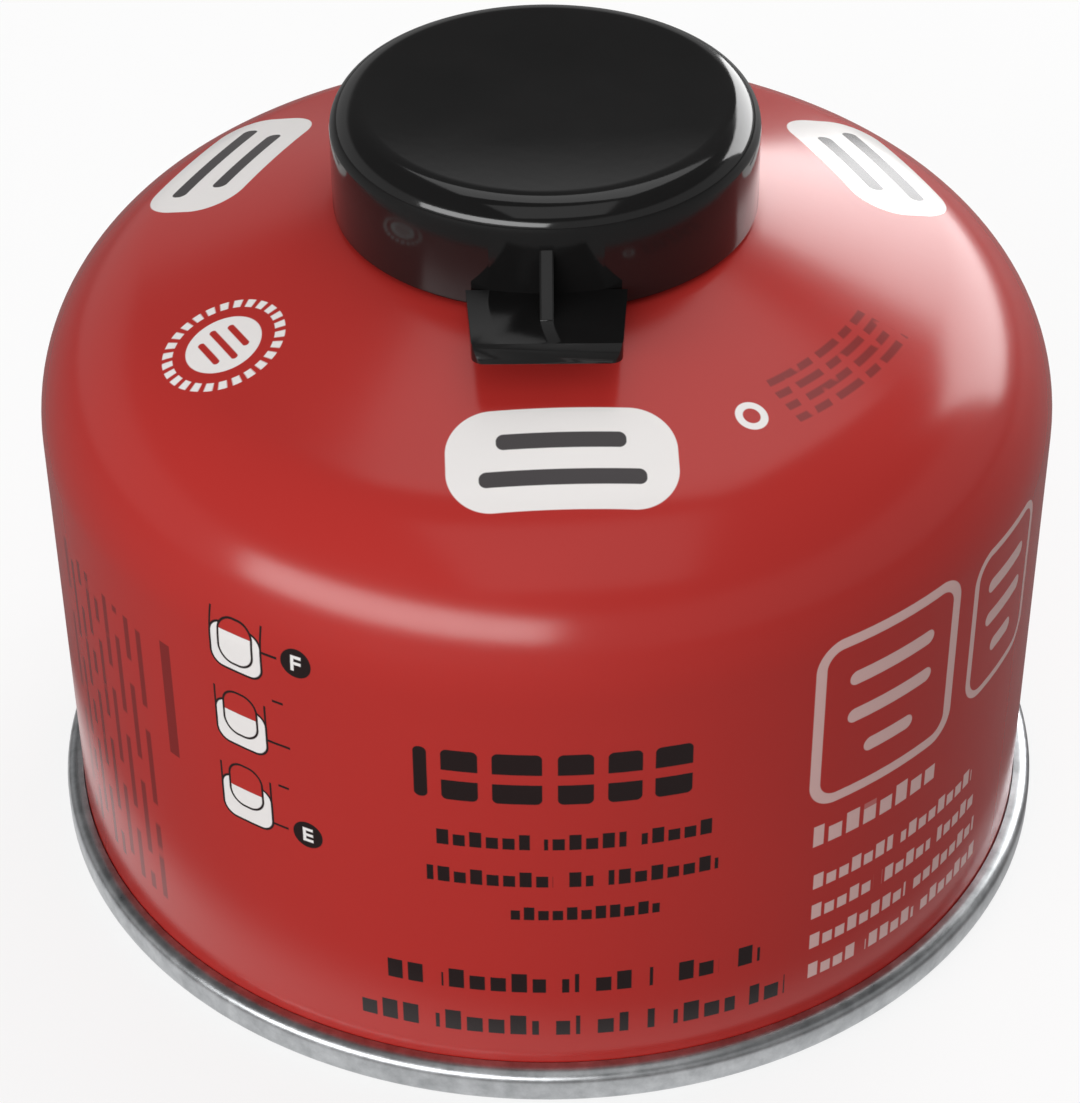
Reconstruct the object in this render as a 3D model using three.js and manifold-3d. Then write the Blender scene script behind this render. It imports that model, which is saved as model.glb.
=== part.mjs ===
// A camping-stove fuel canister: a squat drawn steel can with a double-seamed bottom, a crimped
// valve cup with a threaded boss, a spring-loaded valve, and a moulded snap cap with a pull tab.
// Millimetres, +Z up, the origin on the floor at the middle of the foot, the tab towards -Y.
import * as THREE from "three";
import { mergeVertices } from "three/addons/utils/BufferGeometryUtils.js";
import Module from "manifold-3d";

const wasm = await Module();
wasm.setup();

// Clearances
const fitGap = 0.1; // between pieces pressed or crimped together
const seatGap = 0.3; // between a piece and what it rests on

// Can body, drawn from one sheet
const wallRadius = 43.35;
const wallTop = 41.6; // where the shoulder starts to turn
const shoulderRadius = 14.1;
const shoulderTurn = 72; // degrees turned before the dome runs straight
const bodySheet = 0.4;
const domeEase = 2.2; // the dome eases into a level ring round the neck
const ringLand = 2.15; // level part of that ring
const neckFillet = 0.8;
const curlRadius = 1.2; // the rolled edge round the opening
const openingRadius = 12.7;
const curlLift = 2.5; // centre of the roll above the level ring

// Bottom end, seamed to the body
const seamStand = 1.65; // how far the seam stands out from the wall
const seamHeight = 3.2;
const seamRound = 1.1;
const footRound = 0.7;
const endSheet = 0.5;
const hookDepth = 2.2; // how far the body's edge runs down into the seam
const countersink = 4.4; // depth of the chuck wall
const endRise = 11; // height of the domed panel's middle above the floor
const panelFillet = 1.2;

// Valve cup
const cupSheet = 0.4;
const sealThickness = 0.25;
const cupDepth = 5.4; // from the rim's top to the cup's floor
const clinch = 0.5; // how far the cup's wall is spread out under the roll
const cupFillet = 0.7;
const hemDrop = 0.75; // how far the rim's outer edge comes down past the roll's middle
const bossRadius = 5.5; // the crest of the thread
const bossWall = 0.7;
const bossStand = 1.5; // how far the boss stands above the rim
const bossRound = 0.6;
const bossFoot = 1;
const pinRoom = 0.3; // between the seal's bore and the boss's hole
const bossTopSheet = 0.6;

// Valve
const stemSealHeight = 1.05;
const stemSealRoom = 0.25; // between the stem's tip and the seal's bore
const housingHeight = 9.2;
const housingWall = 1.1;
const housingFloor = 1.6;
const inletRadius = 0.9;
const slotWidth = 1.1;
const slotHeight = 3.2;
const stemTip = 1.75;
const stemTipHeight = 0.95;
const headGap = 0.5; // between the stem's head and the housing's bore
const stemHeadHeight = 1.1;
const stemGuide = 1.3;
const stemGuideHeight = 3.6;
const stemSocket = 0.8; // the hollow in the stem's tip that takes the stove's pin
const springWire = 0.5;
const springTurns = 5;
const guideGap = 0.75; // between the stem's stalk and the spring

// Cap
const capRoom = 0.52; // between the valve cup's rim and the cap's wall
const capClearance = 2.05; // between the boss and the cap's roof, a guess, as the cap hides both
const capWall = 1.15;
const capRoof = 0.9;
const capEdge = 2.4; // radius of the outer top edge
const capLand = 0.22; // flat between the rounded edge and the dish
const dishDepth = 0.6;
const capRise = 0.3; // the cap's lower edge above the level ring
const capFit = 0.1; // the bead inside the cap, clear of the rim by this
const beadHeight = 0.9;
const stopRibs = 8;
const stopWidth = 0.8;
const stopOverlap = 0.5; // how far the stops reach in past the rim's crown
const tabLength = 7.58; // from the cap's wall to the tab's front edge
const tabRootHalf = 6.35;
const tabTipHalf = 5.85;
const tabTop = 1.7; // the plate's upper face above the cap's lower edge
const tabPlate = 1.1;
const tabLip = 1.6;
const tabLipHeight = 1.5;
const tabLipLean = 20; // degrees that the lip's front face leans back
const tabCorner = 1;
const ribWidth = 1.1;
const ribRise = 4; // up the cap's wall, from the plate
const ribRun = 3.9; // out along the plate, from the wall

// Facets round a full turn
const roundCan = 48;
const roundValve = 24;

// Sizes that follow from those above
const radians = THREE.MathUtils.degToRad;
const shoulderAngle = radians(shoulderTurn);
const shoulderEnd = new THREE.Vector2(
  wallRadius - shoulderRadius * (1 - Math.cos(shoulderAngle)),
  wallTop + shoulderRadius * Math.sin(shoulderAngle),
);
const domeSlope = 1 / Math.tan(shoulderAngle);
const cupRoll = curlRadius + sealThickness + 2 * fitGap; // inside radius of the cup's channel
const cupInner = openingRadius + curlRadius - cupRoll - cupSheet;
const spreadRadius = cupInner + clinch; // inside face of the spread wall
const wellRadius = spreadRadius + cupSheet + fitGap;
const neckRadius = wellRadius + bodySheet;
const domeEndRadius = neckRadius + neckFillet + ringLand + domeEase;
const domeEnd = new THREE.Vector2(
  domeEndRadius,
  shoulderEnd.y + (shoulderEnd.x - domeEndRadius) * domeSlope,
);
const ringHeight = domeEnd.y + (domeEase * domeSlope) / 2;
const curlCentre = new THREE.Vector2(openingRadius + curlRadius, ringHeight + curlLift);
const seamRadius = wallRadius + seamStand;
const hookOuter = wallRadius + fitGap;
const hookInner = wallRadius - bodySheet - fitGap;
const chuckInner = hookInner - endSheet;
const panelEdge = chuckInner - panelFillet;
const hookFloor = seamHeight - hookDepth;
const rimRadius = curlCentre.x + cupRoll + cupSheet;
const rimTop = curlCentre.y + cupRoll + cupSheet;
const cupFloor = rimTop - cupDepth;
const bossTop = rimTop + bossStand;
const bossBore = bossRadius - bossWall;
const sealTop = bossTop - bossTopSheet - fitGap;
const sealBottom = sealTop - stemSealHeight;
const housingTop = sealBottom - fitGap;
const housingBottom = housingTop - housingHeight;
const housingRadius = bossBore - fitGap;
const housingBore = housingRadius - housingWall;
const springSeat = housingBottom + housingFloor;
const stemShoulder = sealBottom - fitGap; // the head's upper face, which seals
const stemUnder = stemShoulder - stemHeadHeight;
const stemHead = housingBore - headGap;
const stemSealBore = stemTip + stemSealRoom;
const pinHole = stemSealBore + pinRoom;
const springRadius = stemGuide + guideGap + springWire / 2; // to the middle of the wire
const capBase = ringHeight + capRise;
const capBore = rimRadius + capRoom;
const capRadius = capBore + capWall;
const capCeiling = bossTop + capClearance;
const capTop = capCeiling + capRoof + dishDepth;
const dishRadius = capRadius - capEdge - capLand;

const point = (r, z) => new THREE.Vector2(r, z);

// Points on a circular arc, from one angle to another in degrees, both ends included.
function arc(centreR, centreZ, radius, from, to, steps) {
  return Array.from({ length: steps + 1 }, (_, i) => {
    const a = radians(from + ((to - from) * i) / steps);
    return point(centreR + radius * Math.cos(a), centreZ + radius * Math.sin(a));
  });
}

// A sphere cap's section through (0, rise) and (reach, base), from the axis outwards.
function bowed(rise, reach, base, steps) {
  const sag = rise - base;
  const radius = (reach * reach + sag * sag) / (2 * sag);
  const span = THREE.MathUtils.radToDeg(Math.asin(reach / radius));
  const points = arc(0, rise - radius, radius, 90, 90 - span, steps);
  points[0].x = 0;
  return points;
}

// A profile of radii and heights, turned round the vertical axis.
function turned(profile, segments) {
  return new THREE.LatheGeometry(profile, segments).rotateX(Math.PI / 2);
}

function solid(geometry) {
  const bare = geometry.clone();
  bare.deleteAttribute("normal");
  bare.deleteAttribute("uv");
  const merged = mergeVertices(bare, 1e-4);
  return new wasm.Manifold(
    new wasm.Mesh({
      numProp: 3,
      vertProperties: new Float32Array(merged.attributes.position.array),
      triVerts: new Uint32Array(merged.index.array),
    }),
  );
}

function geometryOf(manifold) {
  const { vertProperties, triVerts } = manifold.getMesh();
  const geometry = new THREE.BufferGeometry();
  geometry.setAttribute("position", new THREE.BufferAttribute(vertProperties, 3));
  geometry.setIndex(new THREE.BufferAttribute(triVerts, 1));
  return geometry;
}

// An outline in the X-Y plane, raised from one height to another.
function raised(shape, from, to, curveSegments = 6) {
  return new THREE.ExtrudeGeometry(shape, {
    depth: to - from,
    bevelEnabled: false,
    curveSegments,
  }).translate(0, 0, from);
}

function box(x0, x1, y0, y1, z0, z1) {
  return new THREE.BoxGeometry(x1 - x0, y1 - y0, z1 - z0).translate(
    (x0 + x1) / 2,
    (y0 + y1) / 2,
    (z0 + z1) / 2,
  );
}

// The sealed can: its drawn wall, shoulder and rolled edge, filled down to the bottom end.
function canBody() {
  const panelGap = endSheet + fitGap;
  const pocket = housingRadius + bossWall;
  return turned(
    [
      ...bowed(endRise + panelGap, panelEdge, countersink + panelGap, 5),
      ...arc(panelEdge, countersink - panelFillet, panelFillet + panelGap, 60, 0, 2),
      point(hookInner + fitGap, hookFloor + fitGap),
      point(wallRadius, hookFloor + fitGap),
      ...arc(wallRadius - shoulderRadius, wallTop, shoulderRadius, 0, shoulderTurn, 7),
      domeEnd,
      point(domeEnd.x - domeEase, ringHeight),
      ...arc(neckRadius + neckFillet, ringHeight + neckFillet, neckFillet, 270, 180, 2),
      ...arc(curlCentre.x, curlCentre.y, curlRadius, -120, 180, 10),
      point(openingRadius, curlCentre.y - curlRadius),
      point(wellRadius, curlCentre.y - curlRadius - clinch / 2),
      point(wellRadius, cupFloor - cupSheet - fitGap),
      point(pocket, cupFloor - cupSheet - fitGap),
      point(pocket, housingBottom - seatGap),
      point(0, housingBottom - seatGap),
    ],
    roundCan,
  );
}

// The pressed bottom: a domed panel, a chuck wall and the seam folded round the body's edge.
function bottomEnd() {
  return turned(
    [
      ...bowed(endRise, panelEdge, countersink, 5),
      ...arc(panelEdge, countersink - panelFillet, panelFillet, 60, 0, 2),
      ...arc(chuckInner + footRound, footRound, footRound, 180, 270, 2),
      ...arc(seamRadius - footRound, footRound, footRound, 270, 360, 3),
      ...arc(seamRadius - seamRound, seamHeight - seamRound, seamRound, 0, 90, 4),
      point(hookOuter, seamHeight),
      point(hookOuter, hookFloor),
      point(hookInner, hookFloor),
      ...arc(panelEdge, countersink - panelFillet, panelFillet + endSheet, 0, 60, 2),
      ...bowed(endRise + endSheet, panelEdge, countersink + endSheet, 5).reverse(),
    ],
    roundCan,
  );
}

// The valve's mounting cup, crimped over the roll, with the threaded boss in its middle.
function valveCup() {
  const under = cupFloor - cupSheet;
  const spreadTop = curlCentre.y - curlRadius - clinch;
  return turned(
    [
      point(pinHole, bossTop),
      point(pinHole, bossTop - bossTopSheet),
      point(bossBore, bossTop - bossTopSheet),
      point(bossBore, under),
      point(spreadRadius + cupSheet - cupFillet, under),
      ...arc(spreadRadius + cupSheet - cupFillet, under + cupFillet, cupFillet, -45, 0, 1),
      point(spreadRadius + cupSheet, spreadTop),
      point(cupInner + cupSheet, spreadTop + clinch),
      ...arc(curlCentre.x, curlCentre.y, cupRoll, 180, 0, 6),
      point(curlCentre.x + cupRoll, curlCentre.y - hemDrop),
      point(rimRadius, curlCentre.y - hemDrop),
      ...arc(curlCentre.x, curlCentre.y, cupRoll + cupSheet, 0, 180, 6),
      point(cupInner, spreadTop + clinch),
      point(spreadRadius, spreadTop),
      point(spreadRadius, cupFloor),
      ...arc(bossRadius + bossFoot, cupFloor + bossFoot, bossFoot, 270, 180, 2),
      ...arc(bossRadius - bossRound, bossTop - bossRound, bossRound, 0, 90, 3),
      point(pinHole, bossTop),
    ],
    roundCan,
  );
}

// The sealing ring between the roll and the cup's channel.
function cupSeal() {
  const inner = curlRadius + fitGap;
  const under = arc(curlCentre.x, curlCentre.y, inner, 150, 30, 4);
  const over = arc(curlCentre.x, curlCentre.y, inner + sealThickness, 30, 150, 4);
  return turned([...under, ...over, under[0]], roundCan);
}

// A washer of rubber under the boss's top, which the stem closes against.
function stemSeal() {
  return turned(
    [
      point(stemSealBore, sealBottom),
      point(housingRadius, sealBottom),
      point(housingRadius, sealTop),
      point(stemSealBore, sealTop),
      point(stemSealBore, sealBottom),
    ],
    roundValve,
  );
}

// The moulded housing that holds the spring and the stem, with a gas inlet and two side slots.
function valveHousing() {
  const cup = solid(
    turned(
      [
        point(inletRadius, housingBottom),
        point(housingRadius, housingBottom),
        point(housingRadius, housingTop),
        point(housingBore, housingTop),
        point(housingBore, springSeat),
        point(inletRadius, springSeat),
        point(inletRadius, housingBottom),
      ],
      roundValve,
    ),
  );
  const slots = solid(
    box(
      -2 * housingRadius,
      2 * housingRadius,
      -slotWidth / 2,
      slotWidth / 2,
      springSeat,
      springSeat + slotHeight,
    ),
  );
  return geometryOf(cup.subtract(slots));
}

// The plunger: a tip in the boss's hole, a head that seals, and a stalk inside the spring.
function valveStem() {
  const tipTop = stemShoulder + stemTipHeight;
  return turned(
    [
      point(0, stemUnder - stemGuideHeight),
      point(stemGuide, stemUnder - stemGuideHeight),
      point(stemGuide, stemUnder),
      point(stemHead, stemUnder),
      point(stemHead, stemShoulder),
      point(stemTip, stemShoulder),
      point(stemTip, tipTop),
      point(stemSocket, tipTop),
      point(stemSocket, tipTop - stemTipHeight / 2),
      point(0, tipTop - stemTipHeight / 2),
    ],
    roundValve,
  );
}

class Coil extends THREE.Curve {
  getPoint(t, target = new THREE.Vector3()) {
    const low = springSeat + springWire / 2 + fitGap;
    const high = stemUnder - springWire / 2 - fitGap;
    const closed = springWire / (high - low) / 2;
    const eased = THREE.MathUtils.clamp((t - closed) / (1 - 2 * closed), 0, 1);
    const a = t * springTurns * 2 * Math.PI;
    return target.set(
      springRadius * Math.cos(a),
      springRadius * Math.sin(a),
      low + (high - low) * eased,
    );
  }
}

function valveSpring() {
  const section = new THREE.Shape().absarc(0, 0, springWire / 2, 0, 2 * Math.PI);
  return new THREE.ExtrudeGeometry(section, {
    steps: springTurns * 14,
    curveSegments: 3,
    extrudePath: new Coil(),
  });
}

// The cap's shell, with a rounded edge, a dished roof and a snap bead inside its lower edge.
function capShell() {
  const bead = rimRadius + capFit;
  return turned(
    [
      point(0, capCeiling),
      point(capBore - capEdge / 2, capCeiling),
      point(capBore, capCeiling - capEdge / 2),
      point(capBore, capBase + 2 * beadHeight),
      point(bead, capBase + 1.5 * beadHeight),
      point(bead, capBase + beadHeight),
      point(capBore, capBase + beadHeight / 2),
      point(capBore, capBase),
      point(capRadius, capBase),
      ...arc(capRadius - capEdge, capTop - capEdge, capEdge, 0, 90, 5),
      point(dishRadius, capTop),
      ...bowed(dishDepth, dishRadius, 0, 4)
        .map((p) => point(p.x, capTop - p.y))
        .reverse(),
    ],
    roundCan,
  );
}

// The pull tab: a tapered plate with a thick front lip and a gusset up the cap's wall.
function capTab() {
  const front = -capRadius - tabLength;
  const root = -(capRadius - capWall / 2);
  const top = capBase + tabTop;
  const outline = new THREE.Shape()
    .moveTo(-tabRootHalf, root)
    .lineTo(-tabTipHalf, front + tabCorner)
    .absarc(-tabTipHalf + tabCorner, front + tabCorner, tabCorner, Math.PI, 1.5 * Math.PI)
    .absarc(tabTipHalf - tabCorner, front + tabCorner, tabCorner, 1.5 * Math.PI, 2 * Math.PI)
    .lineTo(tabRootHalf, root);
  const block = solid(raised(outline, top - tabLipHeight, top, 3));
  const margin = 1; // how far a cut runs past what it cuts
  const relief = box(
    -tabTipHalf + tabLip,
    tabTipHalf - tabLip,
    front + tabLip,
    -capRadius,
    top - tabLipHeight - margin,
    top - tabPlate,
  );
  const lean = solid(box(-tabRootHalf, tabRootHalf, -tabLip, 0, -margin, tabLipHeight + margin))
    .rotate([-tabLipLean, 0, 0])
    .translate([0, front, top - tabLipHeight]);
  const gusset = new THREE.Shape()
    .moveTo(root, top - tabPlate)
    .lineTo(root, top + ribRise)
    .lineTo(-capRadius, top + ribRise)
    .lineTo(-capRadius - ribRun, top)
    .lineTo(-capRadius - ribRun, top - tabPlate);
  const web = new THREE.ExtrudeGeometry(gusset, { depth: ribWidth, bevelEnabled: false })
    .translate(0, 0, -ribWidth / 2)
    .applyMatrix4(
      new THREE.Matrix4().makeBasis(
        new THREE.Vector3(0, 1, 0),
        new THREE.Vector3(0, 0, 1),
        new THREE.Vector3(1, 0, 0),
      ),
    );
  return block.subtract(solid(relief)).subtract(lean).add(solid(web));
}

// Ribs inside the cap that rest on the cup's rim.
function capStops() {
  const rib = solid(
    box(
      curlCentre.x - stopOverlap,
      capBore + capWall / 2,
      -stopWidth / 2,
      stopWidth / 2,
      rimTop + seatGap,
      capCeiling + capRoof / 4,
    ),
  );
  return Array.from({ length: stopRibs }, (_, i) =>
    rib.rotate([0, 0, ((i + 0.5) * 360) / stopRibs]),
  );
}

function cap() {
  let moulded = solid(capShell()).add(capTab());
  for (const rib of capStops()) moulded = moulded.add(rib);
  return geometryOf(moulded);
}

const redPaint = { color: 0xb5322b, roughness: 0.34, metalness: 0.1 };
const tinplate = { color: 0xa9adb0, roughness: 0.3, metalness: 1 };
const blackPlastic = { color: 0x1b1b1b, roughness: 0.28, metalness: 0 };
const rubber = { color: 0x2a2a2a, roughness: 0.8, metalness: 0 };
const whitePlastic = { color: 0xd9d6cb, roughness: 0.5, metalness: 0 };
const springSteel = { color: 0x9a9a9a, roughness: 0.25, metalness: 1 };

function piece(name, geometry, finish) {
  const mesh = new THREE.Mesh(geometry, new THREE.MeshStandardMaterial(finish));
  mesh.name = name;
  return mesh;
}

const canister = new THREE.Group();
canister.add(
  piece("can_body", canBody(), redPaint),
  piece("bottom_end", bottomEnd(), tinplate),
  piece("valve_cup", valveCup(), tinplate),
  piece("cup_seal", cupSeal(), rubber),
  piece("stem_seal", stemSeal(), rubber),
  piece("valve_housing", valveHousing(), whitePlastic),
  piece("valve_spring", valveSpring(), springSteel),
  piece("valve_stem", valveStem(), whitePlastic),
  piece("cap", cap(), blackPlastic),
);

export default canister;
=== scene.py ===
"""The looks of a small camping-stove fuel canister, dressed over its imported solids."""

import math

import bmesh
import bpy
from mathutils import Matrix, Vector

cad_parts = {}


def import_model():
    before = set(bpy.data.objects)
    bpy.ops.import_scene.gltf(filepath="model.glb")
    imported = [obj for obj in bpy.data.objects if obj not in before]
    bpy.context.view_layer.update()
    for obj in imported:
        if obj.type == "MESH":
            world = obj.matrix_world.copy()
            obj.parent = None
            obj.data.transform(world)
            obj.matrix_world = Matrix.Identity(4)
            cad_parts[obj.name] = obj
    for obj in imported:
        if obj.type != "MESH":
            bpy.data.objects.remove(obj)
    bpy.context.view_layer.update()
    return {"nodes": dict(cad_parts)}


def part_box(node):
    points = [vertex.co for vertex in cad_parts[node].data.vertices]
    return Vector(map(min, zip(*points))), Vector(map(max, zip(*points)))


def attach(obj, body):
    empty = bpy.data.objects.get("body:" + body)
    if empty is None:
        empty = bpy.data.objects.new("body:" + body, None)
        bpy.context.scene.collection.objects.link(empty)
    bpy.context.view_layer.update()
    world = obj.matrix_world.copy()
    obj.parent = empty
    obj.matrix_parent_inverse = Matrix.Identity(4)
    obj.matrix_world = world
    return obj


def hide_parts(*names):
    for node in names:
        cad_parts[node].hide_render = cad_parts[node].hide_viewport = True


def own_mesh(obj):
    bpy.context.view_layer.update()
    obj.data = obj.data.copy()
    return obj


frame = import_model()

MM = 0.001
TURN = 2 * math.pi


def reach(node):
    """A node's largest radius, lowest and highest height, in millimetres."""
    low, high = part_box(node)
    return high.x / MM, low.z / MM, high.z / MM


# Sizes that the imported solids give, in millimetres
WALL_RADIUS, WALL_FOOT, ROLL_TOP = reach("can_body")
SEAM_RADIUS = reach("bottom_end")[0]
RIM_RADIUS, CUP_UNDER, BOSS_TOP = reach("valve_cup")
CAP_RADIUS, CAP_BASE, CAP_TOP = reach("cap")
SPRING_RADIUS, SPRING_LOW, SPRING_HIGH = reach("valve_spring")
STEM_HEAD, STEM_FOOT, STEM_TIP = reach("valve_stem")
TAB_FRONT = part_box("cap")[0].y / MM

# The can's body, in millimetres and degrees
WALL_TOP = 41.6
SHOULDER_RADIUS = 14.1
SHOULDER_TURN = 72
DOME_END = 18.4
DOME_EASE = 2.2
NECK_RADIUS = 13.25
NECK_FILLET = 0.8
ROLL_RADIUS = 1.2
ROLL_CENTRE = 13.9
WELL_RADIUS = 12.85
POCKET_RADIUS = 5.4
POCKET_GAP = 0.3
POCKET_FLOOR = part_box("valve_housing")[0].z / MM - POCKET_GAP
BODY_SHEET = 0.4
PLAY = 0.1
ROLL_STEP = 0.25
WALL_STEPS = 8
DOME_STEPS = 10
EASE_STEPS = 8

# The bottom end and its seam
SEAM_HEIGHT = 3.2
SEAM_ROUND = 1.1
FOOT_ROUND = 0.7
END_SHEET = 0.5
COUNTERSINK = 4.4
PANEL_FILLET = 1.2
PANEL_BEND = 60
PANEL_RISE = 11
CHUCK_RADIUS = WALL_RADIUS - BODY_SHEET - PLAY - END_SHEET

# The valve cup and its threaded boss, which the cap hides in the photo
CUP_SHEET = 0.4
CUP_ROLL = 1.65
SPREAD_RADIUS = 12.35
SPREAD_RISE = 0.5
CUP_CORNER_OUT = 0.7
CUP_CORNER_IN = 0.5
HEM_DROP = 0.75
BOSS_RADIUS = 5.5
BOSS_BORE = 4.8
BOSS_ROUND = 0.6
BOSS_FOOT = 1.0
BOSS_SHEET = 0.6
PIN_HOLE = 2.3
THREAD_PITCH = 25.4 / 28
THREAD_DEPTH = 0.5
THREAD_LEAD = 0.3
THREAD_FADE_LOW = 0.6
THREAD_FADE_HIGH = 0.5
THREAD_STEPS = 12
CUP_FLOOR = CUP_UNDER + CUP_SHEET

# The plunger, the washer round it and the spring under it
SHANK_RADIUS, SHANK_ROUND = 1.3, 0.3
FLANGE_HEIGHT, FLANGE_ROUND = 1.1, 0.15
NOSE_RADIUS, NOSE_HEIGHT, NOSE_ROUND = 1.75, 0.95, 0.2
DIMPLE_RADIUS, DIMPLE_DEPTH = 0.8, 0.475
WASHER_BORE = 2.0
WASHER_ROUND = 0.12
SPRING_TURNS = 5
WIRE_RADIUS = 0.25
WIRE_STEPS, WIRE_SIDES = 48, 12

# The cap and its tab
CAP_WALL = 1.15
CAP_ROOF = 0.9
CAP_EDGE = 2.4
DISH_RADIUS = 15
DISH_DEPTH = 0.6
BEAD_INNER = 16.05
BEAD_HEIGHT = 0.9
MOUTH_ROUND_IN = 0.2
MOUTH_ROUND_OUT = 0.25
TAB_ROOT_HALF = 6.35
TAB_TIP_HALF = 5.85
TAB_TOP = 1.7
TAB_PLATE = 1.1
TAB_LIP = 1.6
TAB_LIP_HEIGHT = 1.5
TAB_LEAN = math.radians(20)
TAB_CORNER = 1.0
TAB_ROUND = 0.22
RIB_WIDTH = 1.1
RIB_RISE = 4.0
RIB_RUN = 3.9
RIB_ROUND = 0.12
STOP_RIBS = 8
STOP_INNER = 13.4
STOP_WIDTH = 0.8
STOP_GAP = 0.3
STOP_SINK = 0.2
CAP_BORE = CAP_RADIUS - CAP_WALL
CAP_WALL_MIDDLE = CAP_RADIUS - CAP_WALL / 2
CAP_CEILING = CAP_TOP - DISH_DEPTH - CAP_ROOF
TAB_LEVEL = CAP_BASE + TAB_TOP

CREASE = math.radians(35)
BEVEL_ANGLE = math.radians(30)


def linear(red, green, blue):
    """A display colour of 0 to 255 as the linear colour that a shader takes."""
    def one(level):
        share = level / 255
        return share / 12.92 if share <= 0.04045 else ((share + 0.055) / 1.055) ** 2.4
    return (one(red), one(green), one(blue), 1.0)


PAINT_RED = linear(186, 49, 44)
PAINT_DEEP = linear(176, 46, 42)
PRINT_BLACK = linear(34, 22, 22)
PRINT_WHITE = linear(244, 240, 238)
PRINT_PALE = linear(226, 186, 182)
PRINT_DIM = linear(112, 28, 27)
BADGE_GREY = linear(52, 46, 48)
TIN_LIGHT = linear(176, 179, 182)
TIN_DARK = linear(128, 131, 134)
TIN_BRIGHT = linear(228, 230, 232)
CAP_BLACK = linear(26, 26, 26)
CAP_DEEP = linear(17, 17, 17)
CAP_WARM = linear(26, 25, 25)
RUBBER_BLACK = linear(38, 38, 38)
RUBBER_DEEP = linear(30, 30, 30)
ACETAL_CREAM = linear(226, 222, 208)
ACETAL_DEEP = linear(214, 208, 192)
WIRE_GREY = linear(165, 165, 166)
WIRE_DEEP = linear(140, 140, 142)


# Shader maths

class Field:
    """A shader value that adds a Math node for each operator."""

    def __init__(self, nodes, socket):
        self.nodes = nodes
        self.socket = socket

    def math(self, operation, *others, clamp=False):
        return self.nodes.node(
            "ShaderNodeMath", {"operation": operation, "use_clamp": clamp}, [self, *others]
        )

    def __add__(self, other):
        return self.math("ADD", other)

    def __sub__(self, other):
        return self.math("SUBTRACT", other)

    def __mul__(self, other):
        return self.math("MULTIPLY", other)

    def __truediv__(self, other):
        return self.math("DIVIDE", other)

    __radd__ = __add__
    __rmul__ = __mul__

    def __rsub__(self, other):
        return self.nodes.node("ShaderNodeMath", {"operation": "SUBTRACT"}, [other, self])

    def __abs__(self):
        return self.math("ABSOLUTE")

    def at_most(self, other):
        return self.math("MINIMUM", other)

    def at_least(self, other):
        return self.math("MAXIMUM", other)

    def inside(self, soft):
        """1 where the value is below zero, 0 above it, with an edge of that softness."""
        return self.math("MULTIPLY_ADD", -1 / soft, 0.5, clamp=True)


class Nodes:
    """A node tree that Fields are built in."""

    def __init__(self, tree):
        self.tree = tree

    def node(self, kind, settings, values=(), output=0):
        """Adds a node, sets it up, feeds its sockets and gives one of its outputs."""
        made = self.tree.nodes.new(kind)
        for label, value in settings.items():
            setattr(made, label, value)
        pairs = values.items() if isinstance(values, dict) else enumerate(values)
        for place, value in pairs:
            if isinstance(value, Field):
                self.tree.links.new(value.socket, made.inputs[place])
            else:
                made.inputs[place].default_value = value
        return Field(self, made.outputs[output])

    def rays(self, kind):
        """1 for rays of that kind, 0 for the rest."""
        return self.node("ShaderNodeLightPath", {}, output=kind)


class Finish(Nodes):
    """A node material with one Principled shader."""

    def __init__(self, name, colour, roughness, metallic=0.0, **constants):
        self.material = bpy.data.materials.new(name)
        self.material.use_nodes = True
        super().__init__(self.material.node_tree)
        self.shader = self.tree.nodes["Principled BSDF"]
        self.set("Base Color", colour)
        self.set("Roughness", roughness)
        self.set("Metallic", metallic)
        for label, value in constants.items():
            self.set(label.replace("_", " "), value)

    def set(self, label, value):
        if isinstance(value, Field):
            self.tree.links.new(value.socket, self.shader.inputs[label])
        else:
            self.shader.inputs[label].default_value = value

    def place(self):
        """The point on the piece, in metres."""
        return self.node("ShaderNodeTexCoord", {}, output="Object")

    def axes(self):
        """The point's X, Y and Z in millimetres."""
        split = self.node("ShaderNodeSeparateXYZ", {}, [self.place()])
        outputs = split.socket.node.outputs
        return [Field(self, outputs[i]) * (1 / MM) for i in range(3)]

    def noise(self, scale, detail=3.0, roughness=0.5):
        """Noise over the piece; a scale of 1 has a lump about every millimetre."""
        where = self.place()
        factor = [scale / MM] * 3
        spread = self.node("ShaderNodeVectorMath", {"operation": "MULTIPLY"}, [where, factor])
        return self.node(
            "ShaderNodeTexNoise",
            {},
            {"Vector": spread, "Scale": 1.0, "Detail": detail, "Roughness": roughness},
        )

    def mix(self, share, first, second):
        values = {"Factor": share, "A": first, "B": second}
        made = self.tree.nodes.new("ShaderNodeMix")
        made.data_type = "RGBA"
        for socket in made.inputs:
            if socket.name in values and socket.type in ("RGBA", "VALUE") and socket.enabled:
                value = values[socket.name]
                if isinstance(value, Field):
                    self.tree.links.new(value.socket, socket)
                else:
                    socket.default_value = value
        return Field(self, next(o for o in made.outputs if o.type == "RGBA"))

    def bump(self, height, depth_mm):
        values = {"Height": height, "Distance": depth_mm * MM, "Strength": 1.0}
        self.set("Normal", self.node("ShaderNodeBump", {}, values))


def hypotenuse(u, v):
    return (u * u + v * v).math("SQRT")


# The printed shapes, as places on the can. On the wall, a place is millimetres round from the
# front and height. On the shoulder and dome it is the angle round and the radius.

# Softness of an edge, and the bars that stand for lettering, as shares of the line's height
EDGE = 0.09
LETTER_PITCH = 0.82
LETTER_SHARE = 0.74
LETTER_SCATTER = 2.3
LETTER_SHORT = 0.74

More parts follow.
